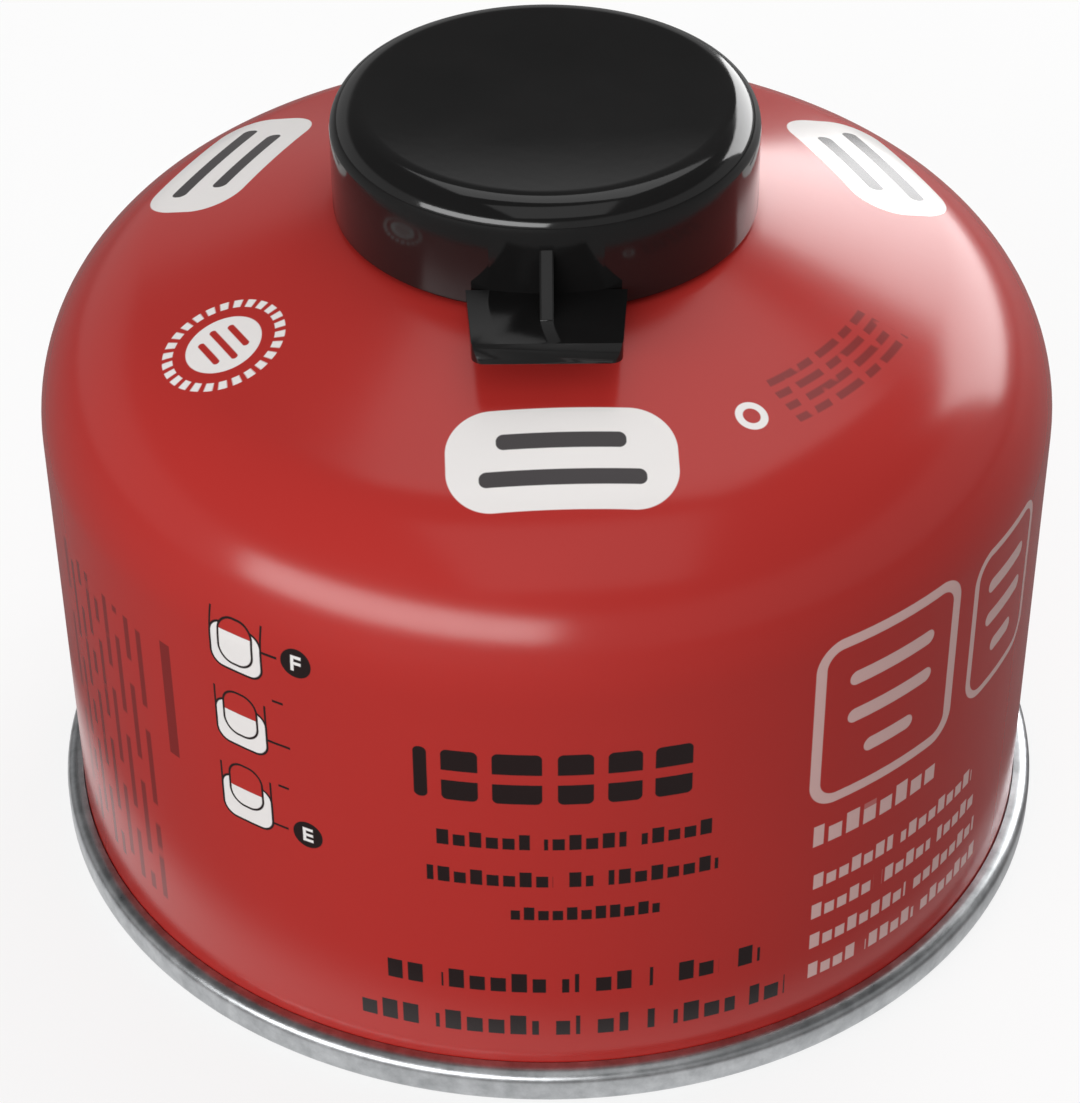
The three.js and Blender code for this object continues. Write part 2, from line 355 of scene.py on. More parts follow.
# The front: a slotted word, and rows of low, high and spans
WORD_LOW, WORD_HIGH, WORD_ROUND = 31.9, 37.0, 0.5
WORD_SLOT, SLOT_HALF = 34.4, 0.5
WORD_BLOCKS = [(-10.7, -9.6), (-8.5, -5.6), (-4.5, -0.6), (0.6, 3.4), (4.5, 7.2), (8.2, 11.2)]
TEXT_ROWS = [
    (27.1, 28.7, [(-9.3, -1.6), (-0.5, 6.0), (7.2, 13.2)]),
    (23.1, 24.7, [(-9.9, 0.2), (1.4, 3.4), (4.6, 13.6)]),
    (19.5, 20.9, [(-3.2, 8.8)]),
    (11.3, 13.4, [(-13.9, -10.2), (-9.0, -0.4), (0.9, 2.3), (3.5, 6.6), (8.1, 8.7),
                  (10.2, 14.0), (15.3, 17.7)]),
    (6.4, 8.6, [(-16.4, -10.8), (-9.6, -1.0), (0.4, 2.4), (3.6, 6.4), (8.0, 8.6),
                (10.2, 15.6), (16.9, 20.2)]),
]
PALE_ROWS = [
    (22.0, 24.2, [(22.2, 35.8)]),
    (17.2, 18.8, [(22.3, 31.0), (32.0, 42.3)]),
    (13.8, 15.4, [(22.3, 29.0), (30.0, 36.2), (37.2, 43.4)]),
    (10.4, 12.0, [(22.4, 33.2), (34.2, 43.8)]),
    (7.0, 8.6, [(22.5, 27.5), (28.6, 34.6), (35.6, 44.6)]),
]

# The level gauge
GAUGE_LEFT = -28.3
GAUGE_RIGHT = -23.5
GAUGE_BATHS = [39.4, 31.6, 23.6]
BATH_HEIGHT = 4.1
BATH_ROUND = 1.1
POST_HALF = 0.1
POST_FOOT = 2
POST_RISE = 1.2
GAUGE_FLOATS = [(40.1, 43.0), (32.8, 34.9), (25.2, 26.9)]
FLOAT_HEIGHT = 4.1
FLOAT_INSET = 0.85
FLOAT_ROUND = 1.3
GAUGE_STROKE = 0.22
GAUGE_TICKS = [
    (-23.5, -21.9, 42.3), (-22.6, -21.6, 37.8), (-23.5, -21.2, 33.4),
    (-22.6, -21.6, 29.0), (-23.5, -21.9, 24.6),
]
TICK_HALF = 0.12
GAUGE_DISCS = [(-20.2, 42.4), (-20.1, 24.7)]
DISC_RADIUS = 1.35
# The F and the E: their upright, the ends of their bars, and the bars' heights
LETTER_POST = (-0.45, -0.17)
LETTER_SPAN = (-0.45, 0.47)
LETTER_BARS = ([0.58, 0.02], [0.58, 0.0, -0.58])
LETTER_HALF = 0.72
BAR_HALF = 0.14

# The marks on the right, and the print on the dome
WALL_MARKS = [(29.4, 34.6, 7.9, 8.4, 1.0), (45.4, 34.6, 5.9, 7.6, 0.7)]
MARK_BARS = (0.58, 0.58, 0.34)
MARK_ROUND = 2.6
MARK_STEP = 0.46
MARK_BAR_HALF = 0.7
BADGE_TURNS = (2, -117, 114.5)
BADGE_PLATE = (-8.9, 8.9, 26.2, 35.2, 3.6)
BADGE_BARS = [(-6.4, 6.4, 31.7, 33.1, 0.6), (-5.0, 5.0, 28.4, 29.8, 0.6)]
ROUND_TURN, ROUND_OUT, ROUND_DISC = -59.4, 30.0, 3.1
ROUND_BARS = [(1.6, 1.35), (2.2, 0.0), (1.6, -1.35)]
ROUND_BAR_HALF = 0.28
DASH_RING, DASH_RING_HALF, DASHES, DASH_HALF = 4.6, 0.42, 26, 0.3
RING_TURN, RING_OUT, RING_RADIUS, RING_HALF = 31.6, 30.1, 1.0, 0.3
ARC_PITCH, ARC_LINE_HALF = 1.25, 0.26
ARC_RADIUS, ARC_HALF = 30.0, 2.5
ARC_TURN, ARC_SWEEP = math.radians(51), math.radians(13.5)
ARC_WAVES = (95.0, 61.0)
ARC_GAP = 0.8

# The columns of dashes on the left
SIDE_COLUMNS = 9
SIDE_START = -36.5
SIDE_STEP = -1.75
SIDE_LOW, SIDE_HIGH = 7.5, 37.5
SIDE_LINE_HALF = 0.2
SIDE_WAVES = [(0.55, 3.7), (1.21, 1.9)]
SIDE_GAP = 0.7
SIDE_HEADING = (-34.6, -33.4, 26.2, 38.0)

# The print's strength, and the height that parts the wall's print from the dome's
SIDE_SHARE = 0.8
ARC_SHARE = 0.75
WALL_PRINT_TOP = 46.0
WALL_PRINT_FADE = 4.0


def group(name, labels, build):
    """A node group with one output, built once from Fields that stand for its inputs."""
    tree = bpy.data.node_groups.new(name, "ShaderNodeTree")
    for label in labels:
        tree.interface.new_socket(label, in_out="INPUT", socket_type="NodeSocketFloat")
    tree.interface.new_socket("Field", in_out="OUTPUT", socket_type="NodeSocketFloat")
    nodes = Nodes(tree)
    source = tree.nodes.new("NodeGroupInput")
    fields = [Field(nodes, source.outputs[i]) for i in range(len(labels))]
    sink = tree.nodes.new("NodeGroupOutput")
    tree.links.new(build(*fields).socket, sink.inputs[0])
    return tree


def rounded_box(u, v, middle_u, middle_v, half_u, half_v, rounding):
    du = abs(u - middle_u) - half_u
    dv = abs(v - middle_v) - half_v
    out_u = du.at_least(0.0)
    out_v = dv.at_least(0.0)
    away = hypotenuse(out_u, out_v)
    return (away + du.at_least(dv).at_most(0.0) - rounding).inside(EDGE)


def letters(u, v, low, high):
    """Upright bars on a line, some of them shorter, as unreadable lettering."""
    pitch = (high - low) * LETTER_PITCH
    cell = u / pitch
    across = (abs(cell.math("FRACT") - 0.5) - LETTER_SHARE / 2) * pitch
    tall = (cell.math("FLOOR") * LETTER_SCATTER).math("SINE").math("MULTIPLY", 5.0, clamp=True)
    short = v - low - (high - low) * LETTER_SHORT
    return across.inside(EDGE) * short.inside(EDGE).at_least(tall)


ROUNDED_BOX = group(
    "rounded_box", ["U", "V", "Middle U", "Middle V", "Half U", "Half V", "Rounding"], rounded_box
)
LETTERS = group("letters", ["U", "V", "Low", "High"], letters)


def box_mask(u, v, u0, u1, v0, v1, rounding=0.0):
    """A filled box with rounded corners, from two coordinates."""
    half_u = (u1 - u0) / 2 - rounding
    half_v = (v1 - v0) / 2 - rounding
    values = [u, v, (u0 + u1) / 2, (v0 + v1) / 2, half_u, half_v, rounding]
    return u.nodes.node("ShaderNodeGroup", {"node_tree": ROUNDED_BOX}, values)


def disc_mask(u, v, cu, cv, radius):
    return (hypotenuse(u - cu, v - cv) - radius).inside(EDGE)


def row_mask(u, v, row):
    """Words of upright bars on one line."""
    low, high, spans = row
    words = union([box_mask(u, v, first, last, low, high) for first, last in spans])
    return words * u.nodes.node("ShaderNodeGroup", {"node_tree": LETTERS}, [u, v, low, high])


def union(masks):
    whole = masks[0]
    for mask in masks[1:]:
        whole = whole.at_least(mask)
    return whole


def grown_box(u, v, u0, u1, v0, v1, rounding, more):
    """A rounded box that is larger by the same amount all round."""
    return box_mask(u, v, u0 - more, u1 + more, v0 - more, v1 + more, rounding + more)


def gauge(u, v):
    """The level gauge: a can floating in a bath, drawn three times, with ticks and end letters.

    Gives its black, white, black, white and red fields, in the order in which they are laid.
    """
    outline, bath, liquid, floats, gas = [], [], [], [], []
    for low, (bottom, level) in zip(GAUGE_BATHS, GAUGE_FLOATS):
        box = (GAUGE_LEFT, GAUGE_RIGHT, low, low + BATH_HEIGHT, BATH_ROUND)
        outline.append(grown_box(u, v, *box, GAUGE_STROKE))
        bath.append(box_mask(u, v, *box))
        for side in (GAUGE_LEFT - POST_HALF, GAUGE_RIGHT + POST_HALF):
            post = (side - POST_HALF, side + POST_HALF, low + POST_FOOT, low + BATH_HEIGHT + POST_RISE)
            outline.append(box_mask(u, v, *post))
        left, right = GAUGE_LEFT + FLOAT_INSET, GAUGE_RIGHT - FLOAT_INSET
        can = (left, right, bottom, bottom + FLOAT_HEIGHT, FLOAT_ROUND)
        floats.append(grown_box(u, v, *can, GAUGE_STROKE))
        inside = box_mask(u, v, *can)
        filled = (v - level).inside(EDGE)
        gas.append(inside * (1 - filled))
        liquid.append(inside * filled)
    for first, last, middle in GAUGE_TICKS:
        outline.append(box_mask(u, v, first, last, middle - TICK_HALF, middle + TICK_HALF))
    marks = []
    for bars, (cu, cv) in zip(LETTER_BARS, GAUGE_DISCS):
        outline.append(disc_mask(u, v, cu, cv, DISC_RADIUS))
        post = (cu + LETTER_POST[0], cu + LETTER_POST[1], cv - LETTER_HALF, cv + LETTER_HALF)
        marks.append(box_mask(u, v, *post))
        for up in bars:
            bar = (cu + LETTER_SPAN[0], cu + LETTER_SPAN[1], cv + up - BAR_HALF, cv + up + BAR_HALF)
            marks.append(box_mask(u, v, *bar))
    return union(outline), union(bath + marks), union(floats), union(liquid), union(gas)


def plain_mark(u, v, middle, height, half_width, half_height, stroke):
    """A rounded outline with three plain bars in it."""
    box = (middle - half_width, middle + half_width, height - half_height, height + half_height)
    ring = box_mask(u, v, *box, MARK_ROUND) * (1 - grown_box(u, v, *box, MARK_ROUND, -stroke))
    bars = []
    for row, share in enumerate(MARK_BARS):
        half = half_width * share
        level = height + (1 - row) * half_height * MARK_STEP
        bar = (middle - half, middle + half, level - MARK_BAR_HALF, level + MARK_BAR_HALF)
        bars.append(box_mask(u, v, *bar, MARK_BAR_HALF))
    return union([ring, *bars])


def wall_print(u, v):
    """The wall's printed fields and their colours, in the order in which they are laid."""
    black = [row_mask(u, v, row) for row in TEXT_ROWS]
    for span in WORD_BLOCKS:
        black.append(box_mask(u, v, *span, WORD_LOW, WORD_HIGH, WORD_ROUND))
    slot_ends = (WORD_BLOCKS[1][0] - 1, WORD_BLOCKS[-1][1] + 1)
    slot = box_mask(u, v, *slot_ends, WORD_SLOT - SLOT_HALF, WORD_SLOT + SLOT_HALF)
    outline, bath, floats, liquid, gas = gauge(u, v)
    pale = [row_mask(u, v, row) for row in PALE_ROWS]
    pale += [plain_mark(u, v, *mark) for mark in WALL_MARKS]
    return [
        (union(black) * (1 - slot), PRINT_BLACK),
        (outline, PRINT_BLACK),
        (bath, PRINT_WHITE),
        (floats, PRINT_BLACK),
        (liquid, PRINT_WHITE),
        (gas, PAINT_RED),
        (union(pale), PRINT_PALE),
    ]


def turned_axes(x, y, degrees):
    """Coordinates along and out from the can's axis, at an angle round from the front."""
    a = math.radians(degrees)
    return x * math.cos(a) + y * math.sin(a), x * math.sin(a) - y * math.cos(a)


def dome_print(x, y):
    """White and dark fields of the shoulder's print."""
    white = []
    dark = []
    for turn in BADGE_TURNS:
        along, out = turned_axes(x, y, turn)
        white.append(box_mask(along, out, *BADGE_PLATE))
        dark += [box_mask(along, out, *bar) for bar in BADGE_BARS]
    along, out = turned_axes(x, y, ROUND_TURN)
    out = out - ROUND_OUT
    bars = []
    for half, up in ROUND_BARS:
        bar = (-half, half, up - ROUND_BAR_HALF, up + ROUND_BAR_HALF)
        bars.append(box_mask(along, out, *bar, ROUND_BAR_HALF))
    white.append(disc_mask(along, out, 0, 0, ROUND_DISC) * (1 - union(bars)))
    ring = (abs(hypotenuse(along, out) - DASH_RING) - DASH_RING_HALF).inside(EDGE)
    beat = (along.math("ARCTAN2", out) * (DASHES / TURN)).math("FRACT")
    white.append(ring * (abs(beat - 0.5) - DASH_HALF).inside(0.12))
    along, out = turned_axes(x, y, RING_TURN)
    out = out - RING_OUT
    white.append((abs(hypotenuse(along, out) - RING_RADIUS) - RING_HALF).inside(EDGE))
    return union(white), union(dark)


def body_finish():
    finish = Finish("body_paint", PAINT_RED, 0.2, IOR=1.45)
    x, y, z = finish.axes()
    angle = x.math("ARCTAN2", y * -1.0)
    round_mm = angle * WALL_RADIUS
    radius = hypotenuse(x, y)
    on_wall = (WALL_PRINT_TOP - z).math("MULTIPLY", WALL_PRINT_FADE, clamp=True)
    on_top = 1 - on_wall
    mottle = finish.noise(0.06, detail=2.0)
    colour = finish.mix((mottle - 0.5) * 0.5 + 0.25, PAINT_RED, PAINT_DEEP)
    colour = finish.mix(side_text(round_mm, z) * on_wall * SIDE_SHARE, colour, PRINT_DIM)
    for field, tint in wall_print(round_mm, z):
        colour = finish.mix(field * on_wall, colour, tint)
    top_white, top_dark = dome_print(x, y)
    colour = finish.mix(arc_text(angle, radius) * on_top * ARC_SHARE, colour, PRINT_DIM)
    colour = finish.mix(top_white * on_top, colour, PRINT_WHITE)
    colour = finish.mix(top_dark * on_top, colour, BADGE_GREY)
    finish.set("Base Color", colour)
    finish.set("Roughness", finish.noise(0.25) * 0.05 + 0.17)
    finish.bump(finish.noise(1.1, detail=2.0), 0.004)
    return finish.material


def side_text(round_mm, height):
    """Columns of fine dashes that run up the wall, left of the gauge."""
    last = SIDE_START + SIDE_STEP * SIDE_COLUMNS
    column = (round_mm * (1 / SIDE_STEP)).math("FRACT")
    lines = (abs(column - 0.5) - SIDE_LINE_HALF).inside(0.1)
    index = (round_mm * (1 / SIDE_STEP)).math("FLOOR")
    slow, fast = [(height * rise + index * shift).math("SINE") for rise, shift in SIDE_WAVES]
    dashes = ((slow + fast) * -1.0 - SIDE_GAP).inside(0.4)
    block = box_mask(round_mm, height, last, SIDE_START, SIDE_LOW, SIDE_HIGH)
    heading = box_mask(round_mm, height, *SIDE_HEADING)
    return (lines * dashes * block).at_least(heading)


def arc_text(angle, radius):
    """Four short lines that follow the can round, on the right of the shoulder."""
    line = (radius * (1 / ARC_PITCH)).math("FRACT")
    rows = (abs(line - 0.5) - ARC_LINE_HALF).inside(0.12)
    band = (abs(radius - ARC_RADIUS) - ARC_HALF).inside(EDGE)
    sweep = (abs(angle - ARC_TURN) - ARC_SWEEP).inside(0.004)
    waves = (angle * ARC_WAVES[0]).math("SINE") + (angle * ARC_WAVES[1] + radius).math("SINE")
    return rows * band * sweep * (waves * -1.0 - ARC_GAP).inside(0.5)


def tinplate_finish():
    finish = Finish("tinplate", TIN_LIGHT, 0.3, metallic=1.0)
    grain = finish.noise(0.5, detail=4.0, roughness=0.65)
    fine = finish.noise(3.0, detail=2.0)
    finish.set("Base Color", finish.mix(grain, TIN_DARK, TIN_BRIGHT))
    finish.set("Roughness", grain * 0.18 + fine * 0.08 + 0.2)
    finish.bump(fine, 0.006)
    return finish.material


def cap_finish():
    finish = Finish("cap_plastic", CAP_BLACK, 0.16, IOR=1.5)
    haze = finish.noise(0.12, detail=3.0)
    fine = finish.noise(0.9, detail=2.0)
    finish.set("Base Color", finish.mix(haze, CAP_DEEP, CAP_WARM))
    finish.set("Roughness", haze * 0.08 + 0.06)
    finish.bump(fine, 0.003)
    return finish.material


def plain_finish(name, dark, light, roughness, metallic=0.0, grain=0.6):
    finish = Finish(name, light, roughness, metallic)
    speck = finish.noise(grain, detail=3.0)
    finish.set("Base Color", finish.mix(speck, dark, light))
    finish.set("Roughness", speck * 0.12 + (roughness - 0.06))
    finish.bump(speck, 0.004)
    return finish.material


# Shapes

def arc(centre_r, centre_z, radius, first, last, steps=12):
    """Points on an arc between two angles in degrees, counted from straight out."""
    points = []
    for i in range(steps + 1):
        a = math.radians(first + (last - first) * i / steps)
        points.append((centre_r + radius * math.cos(a), centre_z + radius * math.sin(a)))
    return points


def bowed(rise, span, base, steps=24):
    """Half of a shallow arch, from the axis out."""
    sag = rise - base
    radius = (span * span + sag * sag) / (2 * sag)
    points = []
    for i in range(steps + 1):
        r = span * i / steps
        points.append((r, rise - radius + math.sqrt(radius * radius - r * r)))
    return points


def made_piece(name, shape):
    """An object from a bmesh, with its faces turned outwards."""
    bmesh.ops.recalc_face_normals(shape, faces=shape.faces)
    mesh = bpy.data.meshes.new(name)
    shape.to_mesh(mesh)
    shape.free()
    piece = bpy.data.objects.new(name, mesh)
    bpy.context.scene.collection.objects.link(piece)
    return piece


def revolve(name, profile, segments=192, radius_at=None):
    """A closed solid of revolution, from a profile of radii and heights in millimetres."""
    shape = bmesh.new()
    closed = profile[0][0] > 0
    rings = []
    for r, z in profile:
        if r == 0:
            rings.append([shape.verts.new((0, 0, z * MM))])
            continue
        ring = []
        for k in range(segments):
            a = TURN * k / segments
            true_r = radius_at(r, z, a) if radius_at else r
            place = (true_r * math.cos(a) * MM, true_r * math.sin(a) * MM, z * MM)
            ring.append(shape.verts.new(place))
        rings.append(ring)
    pairs = list(zip(rings, rings[1:]))
    if closed:
        pairs.append((rings[-1], rings[0]))
    for low, high in pairs:
        for k in range(segments):
            n = (k + 1) % segments
            corners = [low[k % len(low)], low[n % len(low)], high[n % len(high)], high[k % len(high)]]
            shape.faces.new(list(dict.fromkeys(corners)))
    return made_piece(name, shape)


def prism(name, outline, low, high):
    """An outline in X and Y, raised between two heights, all in millimetres."""
    shape = bmesh.new()
    under = [shape.verts.new((x * MM, y * MM, low * MM)) for x, y in outline]
    over = [shape.verts.new((x * MM, y * MM, high * MM)) for x, y in outline]
    shape.faces.new(under[::-1])
    shape.faces.new(over)
    for k in range(len(outline)):
        n = (k + 1) % len(outline)
        shape.faces.new([under[k], under[n], over[n], over[k]])
    return made_piece(name, shape)


def applied(piece):
    """Turns the piece's modifiers into its mesh."""
    bpy.context.view_layer.update()
    evaluated = piece.evaluated_get(bpy.context.evaluated_depsgraph_get())
    result = bpy.data.meshes.new_from_object(evaluated)
    piece.modifiers.clear()
    old = piece.data
    piece.data = result
    result.name = old.name
    bpy.data.meshes.remove(old)
    return piece


def combine(piece, other, operation):
    """Joins or cuts one mesh with another, and drops the other."""
    modifier = piece.modifiers.new(operation, "BOOLEAN")
    modifier.operation = operation
    modifier.solver = "EXACT"
    modifier.object = other
    applied(piece)
    bpy.data.objects.remove(other)
    return piece


def bevelled(piece, width_mm):
    modifier = piece.modifiers.new("rounding", "BEVEL")
    modifier.width = width_mm * MM
    modifier.segments = 3
    modifier.limit_method = "ANGLE"
    modifier.angle_limit = BEVEL_ANGLE
    return applied(piece)


def dressed(piece, body, slot, material, *nodes):
    """Smooths, paints and places a piece that stands for its CAD node."""
    piece.data.materials.clear()
    piece.data.materials.append(material)
    for face in piece.data.polygons:
        face.use_smooth = True
    piece.data.set_sharp_from_angle(angle=CREASE)
    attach(piece, body)
    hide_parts(*nodes)
    return piece


# The can and its bottom end

SHOULDER_ANGLE = math.radians(SHOULDER_TURN)
DOME_START = WALL_RADIUS - SHOULDER_RADIUS * (1 - math.cos(SHOULDER_ANGLE))
DOME_FOOT = WALL_TOP + SHOULDER_RADIUS * math.sin(SHOULDER_ANGLE)
DOME_SLOPE = 1 / math.tan(SHOULDER_ANGLE)
DOME_END_HEIGHT = DOME_FOOT + (DOME_START - DOME_END) * DOME_SLOPE
RING_HEIGHT = DOME_END_HEIGHT + DOME_EASE * DOME_SLOPE / 2
ROLL_HEIGHT = ROLL_TOP - ROLL_RADIUS
PANEL_EDGE = CHUCK_RADIUS - PANEL_FILLET


def dome_ease():
    """The soft bend from the dome's straight slope to the level ring round the neck."""
    points = []
    for i in range(1, EASE_STEPS + 1):
        t = i / EASE_STEPS
        r = DOME_END - DOME_EASE * t
        points.append((r, DOME_END_HEIGHT + DOME_SLOPE * DOME_EASE * (t - t * t / 2)))
    return points


def can_profile():
    skin = END_SHEET + PLAY
    wall_rise = (WALL_TOP - WALL_FOOT) / WALL_STEPS
    dome_run = (DOME_END - DOME_START) / DOME_STEPS
    dome_rise = (DOME_END_HEIGHT - DOME_FOOT) / DOME_STEPS
    return [
        *bowed(PANEL_RISE + skin, PANEL_EDGE, COUNTERSINK + skin),
        *arc(PANEL_EDGE, COUNTERSINK - PANEL_FILLET, PANEL_FILLET + skin, PANEL_BEND, 0, 5),
        (CHUCK_RADIUS + skin, WALL_FOOT),
        (WALL_RADIUS, WALL_FOOT),
        *[(WALL_RADIUS, WALL_FOOT + wall_rise * i) for i in range(1, WALL_STEPS)],
        *arc(WALL_RADIUS - SHOULDER_RADIUS, WALL_TOP, SHOULDER_RADIUS, 0, SHOULDER_TURN, 36),
        *[(DOME_START + dome_run * i, DOME_FOOT + dome_rise * i) for i in range(1, DOME_STEPS + 1)],
        *dome_ease(),
        *arc(NECK_RADIUS + NECK_FILLET, RING_HEIGHT + NECK_FILLET, NECK_FILLET, 270, 180, 6),
        *arc(ROLL_CENTRE, ROLL_HEIGHT, ROLL_RADIUS, -120, 180, 30),
        (ROLL_CENTRE - ROLL_RADIUS, ROLL_HEIGHT - ROLL_RADIUS),
        (WELL_RADIUS, ROLL_HEIGHT - ROLL_RADIUS - ROLL_STEP),
        (WELL_RADIUS, CUP_UNDER - PLAY),
        (POCKET_RADIUS, CUP_UNDER - PLAY),
        (POCKET_RADIUS, POCKET_FLOOR),
        (0, POCKET_FLOOR),
    ]


def end_profile():
    hook = WALL_RADIUS + PLAY
    return [
        *bowed(PANEL_RISE, PANEL_EDGE, COUNTERSINK),
        *arc(PANEL_EDGE, COUNTERSINK - PANEL_FILLET, PANEL_FILLET, PANEL_BEND, 0, 6),
        *arc(CHUCK_RADIUS + FOOT_ROUND, FOOT_ROUND, FOOT_ROUND, 180, 270, 8),
        *arc(SEAM_RADIUS - FOOT_ROUND, FOOT_ROUND, FOOT_ROUND, 270, 360, 8),
        *arc(SEAM_RADIUS - SEAM_ROUND, SEAM_HEIGHT - SEAM_ROUND, SEAM_ROUND, 0, 90, 12),
        (hook, SEAM_HEIGHT),
        (hook, WALL_FOOT - PLAY),
        (CHUCK_RADIUS + END_SHEET, WALL_FOOT - PLAY),
        *arc(PANEL_EDGE, COUNTERSINK - PANEL_FILLET, PANEL_FILLET + END_SHEET, 0, PANEL_BEND, 6),
        *bowed(PANEL_RISE + END_SHEET, PANEL_EDGE, COUNTERSINK + END_SHEET)[::-1],
    ]


# The valve

def cup_profile():
    wall = ROLL_CENTRE - CUP_ROLL - CUP_SHEET
    spread_top = ROLL_HEIGHT - ROLL_RADIUS - (SPREAD_RADIUS - wall)
    thread_low = CUP_FLOOR + BOSS_FOOT + THREAD_LEAD
    thread_high = BOSS_TOP - BOSS_ROUND
    rings = int((thread_high - thread_low) / THREAD_PITCH * THREAD_STEPS)
    outer = SPREAD_RADIUS + CUP_SHEET
    return [
        (PIN_HOLE, BOSS_TOP - BOSS_SHEET),
        (BOSS_BORE, BOSS_TOP - BOSS_SHEET),
        (BOSS_BORE, CUP_UNDER),
        *arc(outer - CUP_CORNER_OUT, CUP_UNDER + CUP_CORNER_OUT, CUP_CORNER_OUT, -90, 0, 6),
        (outer, spread_top),
        (wall + CUP_SHEET, spread_top + SPREAD_RISE),
        *arc(ROLL_CENTRE, ROLL_HEIGHT, CUP_ROLL, 180, 0, 24),
        (ROLL_CENTRE + CUP_ROLL, ROLL_HEIGHT - HEM_DROP),
        (RIM_RADIUS, ROLL_HEIGHT - HEM_DROP),
        *arc(ROLL_CENTRE, ROLL_HEIGHT, RIM_RADIUS - ROLL_CENTRE, 0, 180, 24),
        (wall, spread_top + SPREAD_RISE),
        (SPREAD_RADIUS, spread_top),
        *arc(SPREAD_RADIUS - CUP_CORNER_IN, CUP_FLOOR + CUP_CORNER_IN, CUP_CORNER_IN, 0, -90, 6),
        *arc(BOSS_RADIUS + BOSS_FOOT, CUP_FLOOR + BOSS_FOOT, BOSS_FOOT, 270, 180, 8),
        *[(BOSS_RADIUS, thread_low + (thread_high - thread_low) * i / rings) for i in range(rings + 1)],
        *arc(BOSS_RADIUS - BOSS_ROUND, BOSS_TOP - BOSS_ROUND, BOSS_ROUND, 6, 90, 8),
        (PIN_HOLE, BOSS_TOP),
    ]


def threaded(r, z, a):
    """The boss's outer face as a right-hand thread that fades out at both ends."""
    if abs(r - BOSS_RADIUS) > 0.01 or z < CUP_FLOOR + BOSS_FOOT:
        return r
    phase = (z / THREAD_PITCH - a / TURN) % 1
    groove = 0.5 + 0.5 * math.cos(TURN * phase)
    rise = (z - CUP_FLOOR - BOSS_FOOT - THREAD_LEAD) / THREAD_FADE_LOW
    fall = (BOSS_TOP - THREAD_FADE_HIGH - z) / THREAD_FADE_HIGH
    fade = min(1, max(0, rise)) * min(1, max(0, fall))
    return r - THREAD_DEPTH * groove * fade


def stem_profile():
    shoulder = STEM_TIP - NOSE_HEIGHT
    under = shoulder - FLANGE_HEIGHT
    flange = STEM_HEAD - FLANGE_ROUND
    return [
        (0, STEM_FOOT),
        *arc(SHANK_RADIUS - SHANK_ROUND, STEM_FOOT + SHANK_ROUND, SHANK_ROUND, -90, 0, 4),
        (SHANK_RADIUS, under),
        *arc(flange, under + FLANGE_ROUND, FLANGE_ROUND, -90, 0, 3),
        *arc(flange, shoulder - FLANGE_ROUND, FLANGE_ROUND, 0, 90, 3),
        (NOSE_RADIUS, shoulder),
        *arc(NOSE_RADIUS - NOSE_ROUND, STEM_TIP - NOSE_ROUND, NOSE_ROUND, 0, 90, 4),
        (DIMPLE_RADIUS, STEM_TIP),
        (DIMPLE_RADIUS, STEM_TIP - DIMPLE_DEPTH),
        (0, STEM_TIP - DIMPLE_DEPTH),
    ]


def washer_profile():
    outer, low, high = reach("stem_seal")
    bore, soft = WASHER_BORE, WASHER_ROUND
    return [
        *arc(bore + soft, low + soft, soft, 180, 270, 3),
        *arc(outer - soft, low + soft, soft, 270, 360, 3),
        *arc(outer - soft, high - soft, soft, 0, 90, 3),
        *arc(bore + soft, high - soft, soft, 90, 180, 3),
    ]


def spring():
    """The wire spring as one tube with closed, flattened ends."""
    low = SPRING_LOW + WIRE_RADIUS
    high = SPRING_HIGH - WIRE_RADIUS
    middle = SPRING_RADIUS - WIRE_RADIUS
    closed = WIRE_RADIUS / (high - low)
    steps = SPRING_TURNS * WIRE_STEPS
    shape = bmesh.new()
    rings = []
    for i in range(steps + 1):
        t = i / steps
        rise = min(1, max(0, (t - closed) / (1 - 2 * closed)))
        a = t * SPRING_TURNS * TURN
        centre = Vector((middle * math.cos(a), middle * math.sin(a), low + (high - low) * rise))
        outward = Vector((math.cos(a), math.sin(a), 0))
        ring = []
        for k in range(WIRE_SIDES):
            b = TURN * k / WIRE_SIDES
            offset = outward * math.cos(b) + Vector((0, 0, 1)) * math.sin(b)
            ring.append(shape.verts.new((centre + offset * WIRE_RADIUS) * MM))
        rings.append(ring)
    for first, second in zip(rings, rings[1:]):
        for k in range(WIRE_SIDES):
            n = (k + 1) % WIRE_SIDES
            shape.faces.new([first[k], first[n], second[n], second[k]])
    shape.faces.new(rings[0][::-1])
    shape.faces.new(rings[-1])
    return made_piece("spring_coil", shape)


# The cap

def cap_profile():
    roof_round = CAP_EDGE / 2
    dish = [(r, CAP_TOP - z) for r, z in bowed(DISH_DEPTH, DISH_RADIUS, 0, 40)]
    return [
        (0, CAP_CEILING),
        (CAP_BORE - roof_round, CAP_CEILING),
        *arc(CAP_BORE - roof_round, CAP_CEILING - roof_round, roof_round, 80, 0, 6),
        (CAP_BORE, CAP_BASE + 2 * BEAD_HEIGHT),
        (BEAD_INNER, CAP_BASE + 1.5 * BEAD_HEIGHT),
        (BEAD_INNER, CAP_BASE + BEAD_HEIGHT),
        (CAP_BORE, CAP_BASE + BEAD_HEIGHT / 2),
        *arc(CAP_BORE + MOUTH_ROUND_IN, CAP_BASE + MOUTH_ROUND_IN, MOUTH_ROUND_IN, 180, 270, 3),
        *arc(CAP_RADIUS - MOUTH_ROUND_OUT, CAP_BASE + MOUTH_ROUND_OUT, MOUTH_ROUND_OUT, 270, 360, 4),
        *arc(CAP_RADIUS - CAP_EDGE, CAP_TOP - CAP_EDGE, CAP_EDGE, 0, 90, 24),
        *dish[::-1],
    ]


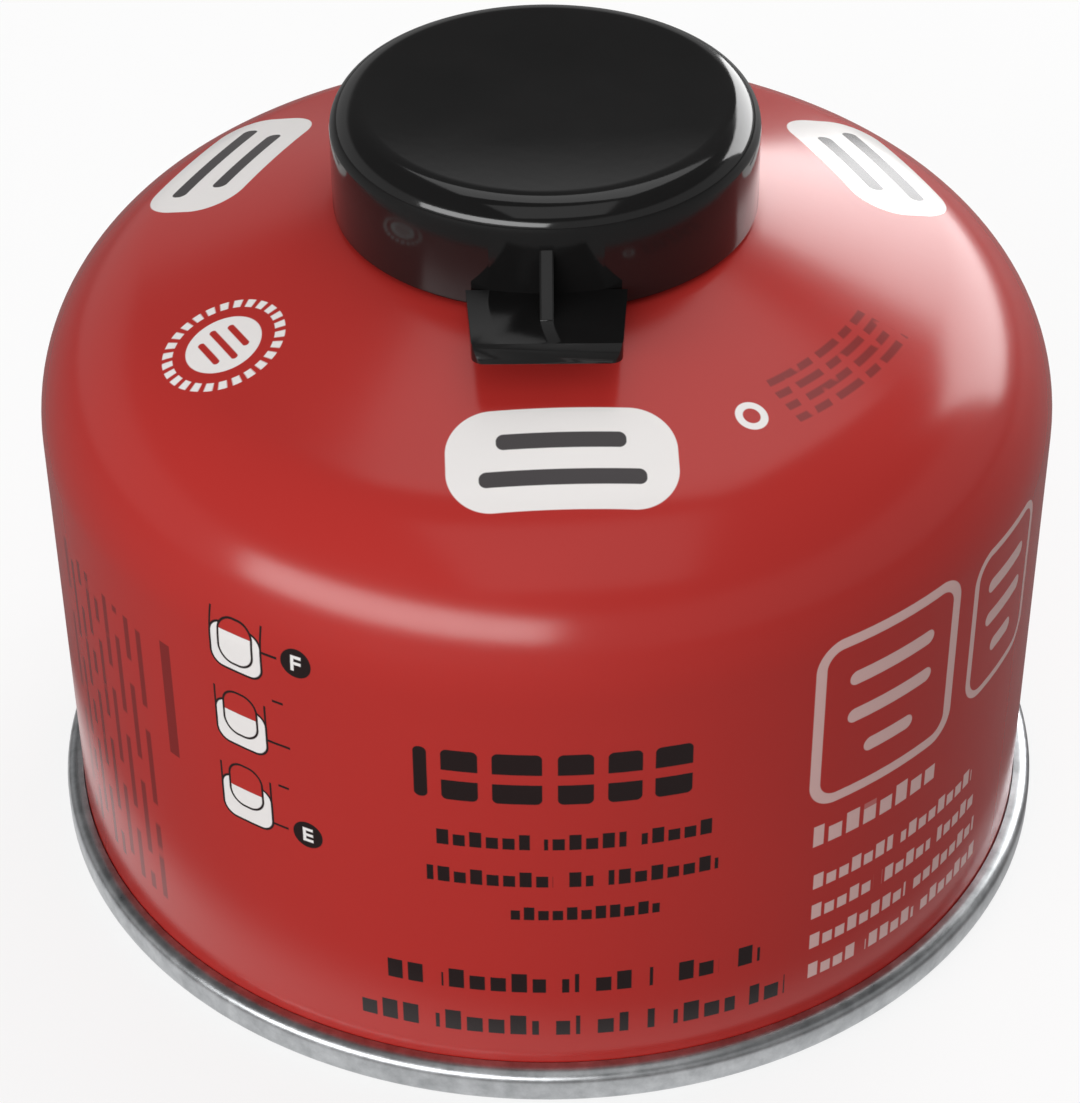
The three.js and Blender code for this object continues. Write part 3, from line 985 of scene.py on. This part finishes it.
def tab():
    """The pull tab: a tapered plate with a thick lip, hollow underneath."""
    underside = TAB_LEVEL - TAB_LIP_HEIGHT
    outline = [
        (-TAB_ROOT_HALF, -CAP_WALL_MIDDLE),
        *arc(-TAB_TIP_HALF + TAB_CORNER, TAB_FRONT + TAB_CORNER, TAB_CORNER, 180, 270, 8),
        *arc(TAB_TIP_HALF - TAB_CORNER, TAB_FRONT + TAB_CORNER, TAB_CORNER, 270, 360, 8),
        (TAB_ROOT_HALF, -CAP_WALL_MIDDLE),
    ]
    plate = prism("tab_plate", outline, underside, TAB_LEVEL)
    hollow_half = TAB_TIP_HALF - TAB_LIP
    hollow = [
        (-hollow_half, -CAP_RADIUS),
        (-hollow_half, TAB_FRONT + TAB_LIP),
        (hollow_half, TAB_FRONT + TAB_LIP),
        (hollow_half, -CAP_RADIUS),
    ]
    cutter = prism("tab_hollow", hollow, underside - 1, TAB_LEVEL - TAB_PLATE)
    plate = combine(plate, cutter, "DIFFERENCE")
    # The wedge only has to be larger than the lip that it trims
    wedge = prism("lip_lean", [(-8, -3), (8, -3), (8, 0), (-8, 0)], -1, 3)
    foot = Vector((0, TAB_FRONT, underside)) * MM
    wedge.data.transform(Matrix.Translation(foot) @ Matrix.Rotation(-TAB_LEAN, 4, "X"))
    plate = combine(plate, wedge, "DIFFERENCE")
    return bevelled(plate, TAB_ROUND)


def gusset():
    """The upright rib between the tab and the cap's wall."""
    outline = [
        (-CAP_WALL_MIDDLE, TAB_LEVEL - TAB_PLATE / 2),
        (-CAP_WALL_MIDDLE, TAB_LEVEL + RIB_RISE),
        (-CAP_RADIUS, TAB_LEVEL + RIB_RISE),
        (-CAP_RADIUS - RIB_RUN, TAB_LEVEL),
        (-CAP_RADIUS - RIB_RUN, TAB_LEVEL - TAB_PLATE / 2),
    ]
    piece = prism("gusset", outline, -RIB_WIDTH / 2, RIB_WIDTH / 2)
    piece.data.transform(Matrix(((0, 0, 1, 0), (1, 0, 0, 0), (0, 1, 0, 0), (0, 0, 0, 1))))
    return bevelled(piece, RIB_ROUND)


def cap():
    piece = revolve("cap_moulding", cap_profile())
    piece = combine(piece, tab(), "UNION")
    piece = combine(piece, gusset(), "UNION")
    rib_foot = ROLL_HEIGHT + CUP_ROLL + CUP_SHEET + STOP_GAP
    half = STOP_WIDTH / 2
    outline = [(STOP_INNER, -half), (CAP_WALL_MIDDLE, -half), (CAP_WALL_MIDDLE, half), (STOP_INNER, half)]
    for k in range(STOP_RIBS):
        rib = prism("stop_rib", outline, rib_foot, CAP_CEILING + STOP_SINK)
        rib.data.transform(Matrix.Rotation(TURN * (k + 0.5) / STOP_RIBS, 4, "Z"))
        piece = combine(piece, rib, "UNION")
    return piece


# Camera, light and setting

EYE = Vector((-0.000655, -0.22354, 0.19523))
AIM = Vector((-0.000655, 0, 0.023355))
VIEW_ROLL = math.radians(0.389)
LENS = 102.1


def camera():
    made = bpy.data.objects.new("camera", bpy.data.cameras.new("camera"))
    bpy.context.scene.collection.objects.link(made)
    made.data.sensor_width = 36
    made.data.lens = LENS
    made.location = EYE
    facing = (AIM - EYE).to_track_quat("-Z", "Y").to_matrix()
    made.rotation_euler = (facing @ Matrix.Rotation(-VIEW_ROLL, 3, "Z")).to_euler()
    bpy.context.scene.camera = made


def softbox(name, azimuth, elevation, distance, width, height, strength):
    """A rectangular lamp. Azimuth is from the front towards the right, in degrees."""
    a, e = math.radians(azimuth), math.radians(elevation)
    middle = Vector((0, 0, 0.04))
    away = Vector((math.sin(a) * math.cos(e), -math.cos(a) * math.cos(e), math.sin(e)))
    light = bpy.data.lights.new(name, "AREA")
    light.shape = "RECTANGLE"
    light.size = width
    light.size_y = height
    light.energy = strength
    lamp = bpy.data.objects.new(name, light)
    lamp.location = middle + away * distance
    lamp.rotation_euler = (-away).to_track_quat("-Z", "Y").to_euler()
    bpy.context.scene.collection.objects.link(lamp)


SKY_EDGE = math.sin(math.radians(24))
SKY_FILL = 0.34
SKY_LOW = 0.4
SKY_HIGH = 0.1
SKY_SOFT = 0.08


def world():
    """White to the camera, a soft fill on the surfaces, and dark overhead in reflections."""
    made = bpy.data.worlds.new("studio")
    bpy.context.scene.world = made
    made.use_nodes = True
    nodes = Nodes(made.node_tree)
    glossy_ray = nodes.rays("Is Glossy Ray")
    direction = nodes.node("ShaderNodeTexCoord", {}, output="Generated")
    up = nodes.node("ShaderNodeSeparateXYZ", {}, [direction], output="Z")
    low = (up - SKY_EDGE).inside(SKY_SOFT)
    mirrored = low * (SKY_LOW - SKY_HIGH) + SKY_HIGH
    plain = (1 - glossy_ray) * SKY_FILL + glossy_ray * mirrored
    white = nodes.rays("Is Camera Ray").at_least(nodes.rays("Is Transmission Ray"))
    strength = white + (1 - white) * plain
    background = made.node_tree.nodes["Background"]
    background.inputs["Color"].default_value = (1, 1, 1, 1)
    made.node_tree.links.new(strength.socket, background.inputs["Strength"])


FLOOR_HALF = 3.0
FLOOR_SEEN = 0.9
FLOOR_BOUNCE = 0.2
FLOOR_GLOW = 0.8
# Metal near the floor shows a pool of white round the can, and beyond it the floor mirrors darker.
POOL_MIDDLE = (-3, -3)
POOL_RADIUS = 48
POOL_EDGE = 5


def floor():
    """A white floor that keeps the object's shadow and throws less light back up."""
    mesh = bpy.data.meshes.new("floor")
    signs = ((-1, -1), (1, -1), (1, 1), (-1, 1))
    corners = [(x * FLOOR_HALF, y * FLOOR_HALF, 0) for x, y in signs]
    mesh.from_pydata(corners, [], [(0, 1, 2, 3)])
    made = bpy.data.objects.new("floor", mesh)
    bpy.context.scene.collection.objects.link(made)
    finish = Finish("floor_white", (0.9, 0.9, 0.9, 1), 0.9)
    seen = finish.rays("Is Camera Ray").at_least(finish.rays("Is Transmission Ray"))
    finish.set("Base Color", seen * (FLOOR_SEEN - FLOOR_BOUNCE) + FLOOR_BOUNCE)
    x, y = finish.axes()[:2]
    away = hypotenuse(x - POOL_MIDDLE[0], y - POOL_MIDDLE[1])
    near = (away - POOL_RADIUS).inside(POOL_EDGE)
    shown = seen.at_least(finish.rays("Is Glossy Ray") * near)
    glow = finish.node("ShaderNodeEmission", {})
    surface = Field(finish, finish.shader.outputs[0])
    both = finish.node("ShaderNodeMixShader", {}, [shown * FLOOR_GLOW, surface, glow])
    finish.tree.links.new(both.socket, finish.tree.nodes["Material Output"].inputs[0])
    mesh.materials.append(finish.material)


# Each lamp's name, azimuth, elevation, distance, width, height and strength
LAMPS = [
    ("left_box", -32, 16, 0.75, 0.94, 0.21, 4.0),
    ("right_box", 141, 20, 0.75, 0.66, 0.36, 4.0),
    ("top_box", 168, 66, 0.8, 0.62, 0.5, 1.1),
    ("front_fill", 8, 60, 0.9, 0.7, 0.7, 0.9),
]


def main():
    tin = tinplate_finish()
    rubber = plain_finish("seal_rubber", RUBBER_DEEP, RUBBER_BLACK, 0.75)
    acetal = plain_finish("valve_plastic", ACETAL_DEEP, ACETAL_CREAM, 0.42)
    wire = plain_finish("spring_steel", WIRE_DEEP, WIRE_GREY, 0.25, metallic=1.0, grain=1.5)
    dressed(revolve("can_skin", can_profile()), "can", "body_paint", body_finish(), "can_body")
    dressed(revolve("end_pressing", end_profile()), "can", "tinplate", tin, "bottom_end")
    dressed(revolve("cup_pressing", cup_profile(), radius_at=threaded), "can", "tinplate", tin, "valve_cup")
    dressed(revolve("stem_moulding", stem_profile(), 64), "plunger", "valve_plastic", acetal, "valve_stem")
    washer = revolve("stem_washer", washer_profile(), 96)
    dressed(washer, "can", "seal_rubber", rubber, "stem_seal")
    dressed(cap(), "cap", "cap_plastic", cap_finish(), "cap")
    coil = dressed(spring(), "can", "spring_steel", wire, "valve_spring")
    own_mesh(coil)
    for node, material in (("valve_housing", acetal), ("cup_seal", rubber)):
        part = frame["nodes"][node]
        part.data.materials.clear()
        part.data.materials.append(material)
    camera()
    world()
    floor()
    for lamp in LAMPS:
        softbox(*lamp)
    bpy.context.scene.view_settings.view_transform = "Standard"


main()
